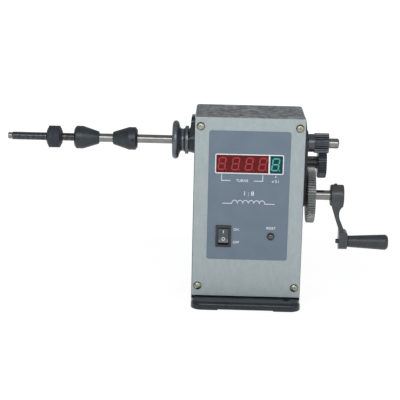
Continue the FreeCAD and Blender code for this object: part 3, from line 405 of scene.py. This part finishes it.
MATERIALS = {
    "cast_body": cast_body(),
    "panel_paint": panel_paint(),
    "label": label_film(),
    "screw_plated": plated_screw(),
    "red_window": window("red_window", (0.1, 0.004, 0.006), (0.14, 0.007, 0.009)),
    "green_window": window("green_window", (0.001, 0.038, 0.044), (0.003, 0.056, 0.063)),
    # the digit bars below carry a painted glow; the display is switched off
    "red_segment": painted_glow_bar("red_segment", (0.3, 0.018, 0.02), (0.42, 0.034, 0.036), 0.12),
    "green_segment": painted_glow_bar("green_segment", (0.06, 0.36, 0.3), (0.1, 0.5, 0.42), 0.1),
    "black_plastic": plastic("black_plastic", (0.016, 0.017, 0.02), (0.03, 0.032, 0.036), 0.45),
    "rocker_plastic": plastic("rocker_plastic", (0.052, 0.062, 0.073), (0.073, 0.085, 0.099), 0.3),
    "button_plastic": gloss_plastic("button_plastic", (0.006, 0.006, 0.008), (0.012, 0.012, 0.015)),
    "terminal": turned_metal("terminal", (0.5, 0.38, 0.16), (0.66, 0.52, 0.26), 0.3),
    "circuit_board": laminate("circuit_board", (0.01, 0.1, 0.035), (0.02, 0.15, 0.06)),
    "steel_plain": turned_metal("steel_plain", *BRIGHT_STEEL, 0.34),
    "core_steel": plastic("core_steel", (0.05, 0.048, 0.045), (0.1, 0.095, 0.09), 0.4, 0.00008, 900),
    "coil_tape": plastic("coil_tape", (0.45, 0.33, 0.05), (0.6, 0.46, 0.1), 0.35),
    "grommet_rubber": plastic("grommet_rubber", (0.012, 0.012, 0.012), (0.028, 0.028, 0.028), 0.62),
    "bush_bronze": turned_metal("bush_bronze", (0.3, 0.18, 0.07), (0.46, 0.3, 0.13), 0.32),
    "shaft_steel": turned_metal("shaft_steel", *GROUND_STEEL, 0.2),
    "blued_steel": turned_metal("blued_steel", *DARK_STEEL, 0.38, metallic=0.45),
    "gear_steel": gear_metal("gear_steel", (0.085, 0.094, 0.099), (0.16, 0.173, 0.18), *TOOTH_HIGHLIGHT_STEEL),
    "pinion_steel": gear_metal("pinion_steel", *BLUED_STEEL, *BLUED_HIGHLIGHT, 0.6, 0.28),
    "idler_pinion_steel": gear_metal(
        "idler_pinion_steel", (0.065, 0.056, 0.055), (0.12, 0.104, 0.1), *BLUED_HIGHLIGHT
    ),
    "arm_paint": plastic("arm_paint", (0.034, 0.04, 0.045), (0.057, 0.066, 0.073), 0.34, 0.00006, 500),
    "grip_plastic": plastic("grip_plastic", (0.022, 0.028, 0.034), (0.034, 0.042, 0.051), 0.38),
    "disc_aluminium": turned_metal("disc_aluminium", (0.6, 0.6, 0.6), (0.75, 0.75, 0.76), 0.3),
    "spring_steel": turned_metal(
        "spring_steel", (0.04, 0.042, 0.047), (0.08, 0.083, 0.09), 0.4, metallic=0.6
    ),
}


def dress_frame():
    """Gives each CAD node the material of its slot, apart from a few that differ in tone."""
    own = {
        "drive_pulley": turned_metal("pulley_steel", *PALE_BLUED, 0.33, metallic=0.7),
        "idler_gear": gear_metal("idler_gear_steel", *NUT_STEEL, *BLUED_HIGHLIGHT, 0.6, 0.34),
        "left_cone_set_screw": MATERIALS["blued_steel"],
        "right_cone_set_screw": MATERIALS["blued_steel"],
    }
    for entry in frame["record"]["subparts"]:
        mesh = frame["nodes"][entry["node"]].data
        mesh.materials.clear()
        mesh.materials.append(own.get(entry["node"], MATERIALS[entry["material_slot"]]))


# Mesh helpers


def new_object(name, build, material, body):
    """Makes an object from a bmesh builder and sets it on a CAD body."""
    made = bmesh.new()
    build(made)
    bmesh.ops.recalc_face_normals(made, faces=made.faces)
    mesh = bpy.data.meshes.new(name)
    made.to_mesh(mesh)
    made.free()
    mesh.materials.append(material)
    obj = bpy.data.objects.new(name, mesh)
    bpy.context.scene.collection.objects.link(obj)
    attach(obj, body)
    return obj


def extruded(made, faces, vector):
    """Gives flat faces a thickness along a vector."""
    grown = bmesh.ops.extrude_face_region(made, geom=faces)
    verts = [v for v in grown["geom"] if isinstance(v, bmesh.types.BMVert)]
    bmesh.ops.translate(made, verts=verts, vec=vector)


def ribbon(made, points, width, y):
    """A flat line of even width through (x, z) points, standing INK_H proud of y."""
    path = [Vector(p) for p in points]
    sides = []
    for i, p in enumerate(path):
        before = (p - path[i - 1]).normalized() if i else None
        after = (path[i + 1] - p).normalized() if i + 1 < len(path) else None
        along = ((before or after) + (after or before)).normalized()
        across = Vector((-along.y, along.x))
        next_way = after or before
        reach = width / 2 / max(MITRE_LIMIT, abs(across.dot(Vector((-next_way.y, next_way.x)))))
        sides.append((p + across * reach, p - across * reach))
    rows = [[made.verts.new((q.x, y, q.y)) for q in pair] for pair in sides]
    faces = [made.faces.new((a[0], a[1], b[1], b[0])) for a, b in zip(rows, rows[1:])]
    extruded(made, faces, Vector((0, -INK_H, 0)))


def on_axis(made, x, r, angle):
    """A vertex at a radius and an angle about the spindle's axis."""
    return made.verts.new((x, r * math.cos(angle), SPINDLE_Z + r * math.sin(angle)))


def lathe(made, profile, steps, radius=lambda x, r, angle: r):
    """Turns (x, radius) points about the spindle's axis. The last argument may vary the radius."""
    turns = [2 * math.pi * k / steps for k in range(steps)]
    rows = [[on_axis(made, x, radius(x, r, a), a) for a in turns] for x, r in profile]
    for a, b in zip(rows, rows[1:]):
        for k in range(steps):
            n = (k + 1) % steps
            made.faces.new((a[k], a[n], b[n], b[k]))


def weld(made):
    bmesh.ops.remove_doubles(made, verts=made.verts, dist=1e-7)


def soften(obj, degrees):
    """Smooth shading, kept sharp where faces meet at more than the given angle."""
    for polygon in obj.data.polygons:
        polygon.use_smooth = True
    obj.data.set_sharp_from_angle(angle=math.radians(degrees))


# Spindle bar and clamp nut


def thread(made):
    """A helical thread from the tip to the arbor. Its end rows are pressed flat onto the end planes."""
    points = len(THREAD_SHAPE)
    turns = math.ceil((ARBOR_LEFT_X - THREAD_LEFT_X) / THREAD_PITCH) + 1

    def vertex(i, k):
        turn, part = divmod(i, points)
        along, sunk = THREAD_SHAPE[part]
        x = THREAD_LEFT_X + (turn - 1 + along + k / BAR_STEPS) * THREAD_PITCH
        if x <= THREAD_LEFT_X:
            place = (THREAD_LEFT_X, TIP_R)
        elif x >= ARBOR_LEFT_X:
            place = (ARBOR_LEFT_X, ARBOR_R)
        else:
            chamfer = THREAD_R - THREAD_CHAMFER + (x - THREAD_LEFT_X)
            place = (x, min(THREAD_R - sunk * THREAD_DEPTH, chamfer))
        return on_axis(made, *place, 2 * math.pi * k / BAR_STEPS)

    rows = [[vertex(i, k) for k in range(BAR_STEPS + 1)] for i in range((turns + 1) * points)]
    for a, b in zip(rows, rows[1:]):
        for k in range(BAR_STEPS):
            made.faces.new((a[k], a[k + 1], b[k + 1], b[k]))


def threaded_end(made):
    lathe(made, [(THREAD_LEFT_X, 0), (THREAD_LEFT_X, TIP_R)], BAR_STEPS)
    thread(made)
    lathe(made, [(ARBOR_LEFT_X, ARBOR_R), (ARBOR_LEFT_X, 0)], BAR_STEPS)
    weld(made)


def plain_bar(made):
    """The bare steel of the spindle: its tip, and all that lies right of the thread."""
    low, high = (corner.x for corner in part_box("spindle_shaft"))
    tip = [
        (low, 0),
        (low, TIP_R - TIP_CHAMFER),
        (low + TIP_CHAMFER, TIP_R),
        (THREAD_LEFT_X, TIP_R),
        (THREAD_LEFT_X, 0),
    ]
    lathe(made, tip, BAR_STEPS)
    profile = [
        (ARBOR_LEFT_X, 0),
        (ARBOR_LEFT_X, ARBOR_R),
        (ARBOR_RIGHT_X, ARBOR_R),
        (ARBOR_RIGHT_X, SHAFT_R),
        (GROOVE_X[0], SHAFT_R),
        (GROOVE_X[0], GROOVE_R),
        (GROOVE_X[1], GROOVE_R),
        (GROOVE_X[1], SHAFT_R),
        (high - SHAFT_CHAMFER, SHAFT_R),
        (high, SHAFT_R - SHAFT_CHAMFER),
        (high, 0),
    ]
    lathe(made, profile, 2 * BAR_STEPS)
    weld(made)


def knurled_nut(made):
    """The clamp nut with a crossed knurl cut into its rim, inside the solid's outline."""
    low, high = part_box("clamp_nut")
    rim = (high.z - low.z) / 2
    along, inward = NUT_CHAMFER
    start, end = low.x + along, high.x - along
    cut = [start + (end - start) * i / KNURL_ROWS for i in range(KNURL_ROWS + 1)]
    tooth = 2 * math.pi * rim / KNURL_TEETH

    def groove(x, angle):
        """How deep the crossed grooves are at a place, from 0 to 1."""
        around = angle * KNURL_TEETH / (2 * math.pi)
        lines = (around + (x - start) / tooth, around - (x - start) / tooth)
        return max(1 - min(1, 4 * abs(v - round(v))) for v in lines)

    def radius(x, r, angle):
        return r - KNURL_DEPTH * groove(x, angle) if r > rim - 1e-6 else r

    profile = [(low.x, NUT_BORE_R), (low.x, rim - inward)]
    profile += [(x, rim) for x in cut]
    profile += [(high.x, rim - inward), (high.x, NUT_BORE_R), (low.x, NUT_BORE_R)]
    lathe(made, profile, KNURL_STEPS, radius)
    weld(made)


def spindle_details():
    bar = new_object("spindle_bar", plain_bar, MATERIALS["shaft_steel"], "spindle")
    end = new_object("spindle_thread", threaded_end, threaded_steel(), "spindle")
    matt = turned_metal("knurled_steel", *NUT_STEEL, 0.55, metallic=0.3)
    nut = new_object("knurled_nut", knurled_nut, matt, "clamp_nut")
    soften(bar, 30)
    soften(end, 20)
    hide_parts("spindle_shaft")
    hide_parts("spindle_shaft")
    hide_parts("clamp_nut")


# Printed marks, and painted shadow rings round the screws


def rounded_loop(xs, zs, r, steps=6):
    """A closed loop of (x, z) points round a rectangle with round corners, from the middle of its foot."""
    (x0, x1), (z0, z1) = xs, zs
    corners = ((x1 - r, z0 + r, -90), (x1 - r, z1 - r, 0), (x0 + r, z1 - r, 90), (x0 + r, z0 + r, 180))
    loop = [((x0 + x1) / 2, z0)]
    for x, z, start in corners:
        for k in range(steps + 1):
            angle = math.radians(start + 90 * k / steps)
            loop.append((x + r * math.cos(angle), z + r * math.sin(angle)))
    return loop + loop[:1]


def display_frame(made):
    """The white border round both windows and the bar between them."""
    low, high = RED_LOW.z + FRAME_INSET, RED_HIGH.z - FRAME_INSET
    reach = FRAME_LINE / 2
    xs = (RED_LOW.x + FRAME_INSET - reach, GREEN_HIGH.x - FRAME_INSET + reach)
    ribbon(made, rounded_loop(xs, (low - reach, high + reach), FRAME_CORNER), FRAME_LINE, LABEL_FACE)
    left, right = RED_HIGH.x - FRAME_INSET, GREEN_LOW.x + FRAME_INSET
    middle = (left + right) / 2
    ribbon(made, [(middle, low), (middle, high)], right - left, LABEL_FACE)


def painted_screw_shadows(made):
    """A thin dark ring round each panel screw: a painted shadow where the head meets the panel."""
    turns = [2 * math.pi * k / SCREW_RING_STEPS for k in range(SCREW_RING_STEPS + 1)]
    for x in SCREW_X:
        for z in SCREW_Z:
            ring = [(x + SCREW_RING_R * math.cos(a), z + SCREW_RING_R * math.sin(a)) for a in turns]
            ribbon(made, ring, SCREW_RING_W, PANEL_FACE)


def digit_brackets(made):
    """The lines that gather the four count digits, and the tick under the tenths digit."""
    low, high = BRACKET_Z
    for x, towards in zip(BRACKET_X, (1, -1)):
        ribbon(made, [(x, high), (x, low), (x + towards * BRACKET_TURN, low)], LINE_W, LABEL_FACE)
    ribbon(made, [(TICK_X, high), (TICK_X, high - TICK_L)], LINE_W, LABEL_FACE)


def coil_sign(made):
    """A plain winding sign: a lead, a row of round loops and a lead."""
    loop = COIL_ROW_W / COIL_SIGN_LOOPS
    half = loop * COIL_SIGN_LOOPS / 2
    points = [(-COIL_SIGN_HALF, COIL_SIGN_Z)]
    for i in range(COIL_SIGN_LOOPS):
        middle = -half + loop * (i + 0.5)
        for k in range(COIL_LOOP_STEPS + 1):
            angle = math.pi * (1 - k / COIL_LOOP_STEPS)
            rise = loop * COIL_LOOP_RISE * math.sin(angle)
            points.append((middle + loop / 2 * math.cos(angle), COIL_SIGN_Z + rise))
    points.append((COIL_SIGN_HALF, COIL_SIGN_Z))
    clean = [p for i, p in enumerate(points) if i == 0 or math.dist(p, points[i - 1]) > 1e-6]
    ribbon(made, clean, LINE_W, LABEL_FACE)


def lettering(name, text, x, z, height, material):
    """Plain upright text on the label, as a thin mesh."""
    curve = bpy.data.curves.new(name, "FONT")
    curve.body = text
    curve.size = height * FONT_SIZE
    curve.align_x = "CENTER"
    curve.align_y = "CENTER"
    curve.extrude = INK_H / 2
    curve.offset = height * FONT_WEIGHT
    shaped = bpy.data.objects.new(name + "_curve", curve)
    bpy.context.scene.collection.objects.link(shaped)
    bpy.context.view_layer.update()
    mesh = bpy.data.meshes.new_from_object(shaped)
    bpy.data.objects.remove(shaped)
    mesh.name = name
    place = Matrix.Translation((x, LABEL_FACE - INK_H / 2, z))
    mesh.transform(place @ Matrix.Rotation(math.pi / 2, 4, "X"))
    mesh.materials.clear()
    mesh.materials.append(material)
    obj = bpy.data.objects.new(name, mesh)
    bpy.context.scene.collection.objects.link(obj)
    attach(obj, "frame")


def printed_marks():
    ink = white_ink()
    new_object("display_border", display_frame, ink, "frame")
    # painted shadow rings round the four panel screws
    new_object("painted_screw_shadows", painted_screw_shadows, MATERIALS["black_plastic"], "frame")
    new_object("digit_brackets", digit_brackets, ink, "frame")
    new_object("coil_sign", coil_sign, ink, "frame")
    switch_z = (SWITCH_LOW.z + SWITCH_HIGH.z) / 2
    lettering("turns_mark", "TURNS", sum(BRACKET_X) / 2, BRACKET_Z[0], CAPTION_H, ink)
    lettering("tenths_mark", "x 0.1", TICK_X, BRACKET_Z[0], CAPTION_H, ink)
    lettering("ratio_mark", "1 : 8", 0.0, RATIO_Z, RATIO_H, ink)
    lettering("on_mark", "ON", SWITCH_MARK_X, switch_z + ON_MARK_UP, CONTROL_MARK_H, ink)
    lettering("off_mark", "OFF", SWITCH_MARK_X, switch_z - OFF_MARK_DOWN, CONTROL_MARK_H, ink)
    button_x = (BUTTON_LOW.x + BUTTON_HIGH.x) / 2
    lettering("reset_mark", "RESET", button_x, BUTTON_HIGH.z + RESET_MARK_UP, CONTROL_MARK_H, ink)


# Switch marks


def rocker_surface(up):
    """The rocker's face at a height from its pivot, before it tilts, as (y, z) from the pivot."""
    radius = (ROCKER_HALF**2 + ROCKER_DIP**2) / (2 * ROCKER_DIP)
    return -ROCKER_LIP + ROCKER_DIP - radius + math.sqrt(radius**2 - up**2), up


def rocker_mark(made, patches):
    """Patches on the rocker's face, each between two pairs of (x, height) points."""
    for inner, outer in patches:
        corners = []
        for across, up in (inner[0], inner[1], outer[1], outer[0]):
            y, z = rocker_surface(up)
            corners.append(made.verts.new((across, y - ROCKER_INK_H, z)))
        made.faces.new(corners)
    bmesh.ops.rotate(made, verts=made.verts, cent=(0, 0, 0), matrix=Matrix.Rotation(ROCKER_TILT, 3, "X"))
    bmesh.ops.translate(made, verts=made.verts, vec=ROCKER_PIVOT)


def on_stroke(made):
    half, low, high = 0.35 * MM, 2.6 * MM, 5.4 * MM
    rocker_mark(made, [(((-half, low), (-half, high)), ((half, low), (half, high)))])


def off_ring(made):
    centre, inner, outer, steps = -3.0 * MM, 1.15 * MM, 1.7 * MM, 28
    points = []
    for k in range(steps + 1):
        a = 2 * math.pi * k / steps
        points.append([(r * math.cos(a), centre + r * math.sin(a)) for r in (inner, outer)])
    pairs = zip(points, points[1:])
    rocker_mark(made, [((a[0], b[0]), (a[1], b[1])) for a, b in pairs])


def switch_marks():
    ink = white_ink()
    new_object("rocker_on_mark", on_stroke, ink, "power_rocker")
    new_object("rocker_off_mark", off_ring, ink, "power_rocker")


# Stage


def camera():
    yaw, pitch, roll = CAMERA_YAW, CAMERA_PITCH, CAMERA_ROLL
    ahead = Vector((math.sin(yaw) * math.cos(pitch), math.cos(yaw) * math.cos(pitch), -math.sin(pitch)))
    level = Vector((math.cos(yaw), -math.sin(yaw), 0))
    rise = level.cross(ahead)
    right = level * math.cos(roll) + rise * math.sin(roll)
    up = rise * math.cos(roll) - level * math.sin(roll)
    data = bpy.data.cameras.new("camera")
    data.sensor_width = SENSOR
    data.lens = FOCAL_PIXELS / IMAGE_PIXELS * SENSOR
    data.clip_start, data.clip_end = CLIP
    obj = bpy.data.objects.new("camera", data)
    turned = Matrix((right, up, -ahead)).transposed().to_4x4()
    obj.matrix_world = Matrix.Translation(CAMERA_PLACE) @ turned
    bpy.context.scene.collection.objects.link(obj)
    bpy.context.scene.camera = obj


def world():
    """A studio sky, pale round the horizon and darker overhead, the same to every ray."""
    made = bpy.data.worlds.new("studio")
    bpy.context.scene.world = made
    made.use_nodes = True
    tree = made.node_tree
    coords = tree.nodes.new("ShaderNodeTexCoord")
    parts = tree.nodes.new("ShaderNodeSeparateXYZ")
    height = tree.nodes.new("ShaderNodeMapRange")
    ramp = tree.nodes.new("ShaderNodeValToRGB")
    elements = ramp.color_ramp.elements
    while len(elements) < len(SKY):
        elements.new(0.5)
    for element, (at, level) in zip(elements, SKY):
        element.position = at
        element.color = (*(tint * level for tint in SKY_TINT), 1)
    height.inputs["From Min"].default_value = -1
    tree.links.new(coords.outputs["Generated"], parts.inputs["Vector"])
    tree.links.new(parts.outputs["Z"], height.inputs["Value"])
    tree.links.new(height.outputs["Result"], ramp.inputs["Fac"])
    tree.links.new(ramp.outputs["Color"], tree.nodes["Background"].inputs["Color"])


def floor_material():
    """White where the camera, a gloss or glass sees it, with the object's soft shadow round its foot."""
    material = bpy.data.materials.new("floor")
    material.use_nodes = True
    tree = material.node_tree
    surface = tree.nodes["Principled BSDF"]
    surface.inputs["Base Color"].default_value = (FLOOR_GREY, FLOOR_GREY, FLOOR_GREY, 1)
    surface.inputs["Roughness"].default_value = 0.8
    path = tree.nodes.new("ShaderNodeLightPath")
    seen = path.outputs["Is Camera Ray"]
    for ray in ("Is Glossy Ray", "Is Transmission Ray"):
        either = tree.nodes.new("ShaderNodeMath")
        either.operation = "MAXIMUM"
        tree.links.new(seen, either.inputs[0])
        tree.links.new(path.outputs[ray], either.inputs[1])
        seen = either.outputs[0]
    coords = tree.nodes.new("ShaderNodeTexCoord")
    reach = tree.nodes.new("ShaderNodeVectorMath")
    reach.operation = "LENGTH"
    whiteness = tree.nodes.new("ShaderNodeMapRange")
    for socket, value in zip(("From Min", "From Max", "To Min", "To Max"), SHADOW_FADE):
        whiteness.inputs[socket].default_value = value
    share = tree.nodes.new("ShaderNodeMath")
    share.operation = "MULTIPLY"
    white = tree.nodes.new("ShaderNodeEmission")
    white.inputs["Strength"].default_value = FLOOR_GLOW
    mix = tree.nodes.new("ShaderNodeMixShader")
    tree.links.new(coords.outputs["Object"], reach.inputs[0])
    tree.links.new(reach.outputs["Value"], whiteness.inputs["Value"])
    tree.links.new(whiteness.outputs["Result"], share.inputs[0])
    tree.links.new(seen, share.inputs[1])
    tree.links.new(share.outputs[0], mix.inputs["Fac"])
    tree.links.new(surface.outputs[0], mix.inputs[1])
    tree.links.new(white.outputs[0], mix.inputs[2])
    tree.links.new(mix.outputs[0], tree.nodes["Material Output"].inputs["Surface"])
    return material


def floor():
    made = bmesh.new()
    bmesh.ops.create_grid(made, x_segments=1, y_segments=1, size=FLOOR_HALF)
    mesh = bpy.data.meshes.new("floor")
    made.to_mesh(mesh)
    made.free()
    mesh.materials.append(floor_material())
    obj = bpy.data.objects.new("floor", mesh)
    obj.location.z = -FLOOR_DROP
    bpy.context.scene.collection.objects.link(obj)


def area_light(name, place, size, power):
    data = bpy.data.lights.new(name, "AREA")
    data.shape = "RECTANGLE"
    data.size, data.size_y = size
    data.energy = power
    obj = bpy.data.objects.new(name, data)
    obj.location = place
    obj.rotation_mode = "QUATERNION"
    obj.rotation_quaternion = (Vector(LIGHT_AIM) - Vector(place)).to_track_quat("-Z", "Y")
    bpy.context.scene.collection.objects.link(obj)


def lights():
    area_light("key_light", *KEY_LIGHT)
    area_light("fill_light", *FILL_LIGHT)


bpy.context.scene.view_settings.view_transform = "Standard"
dress_frame()
spindle_details()
printed_marks()
switch_marks()
camera()
world()
floor()
lights()
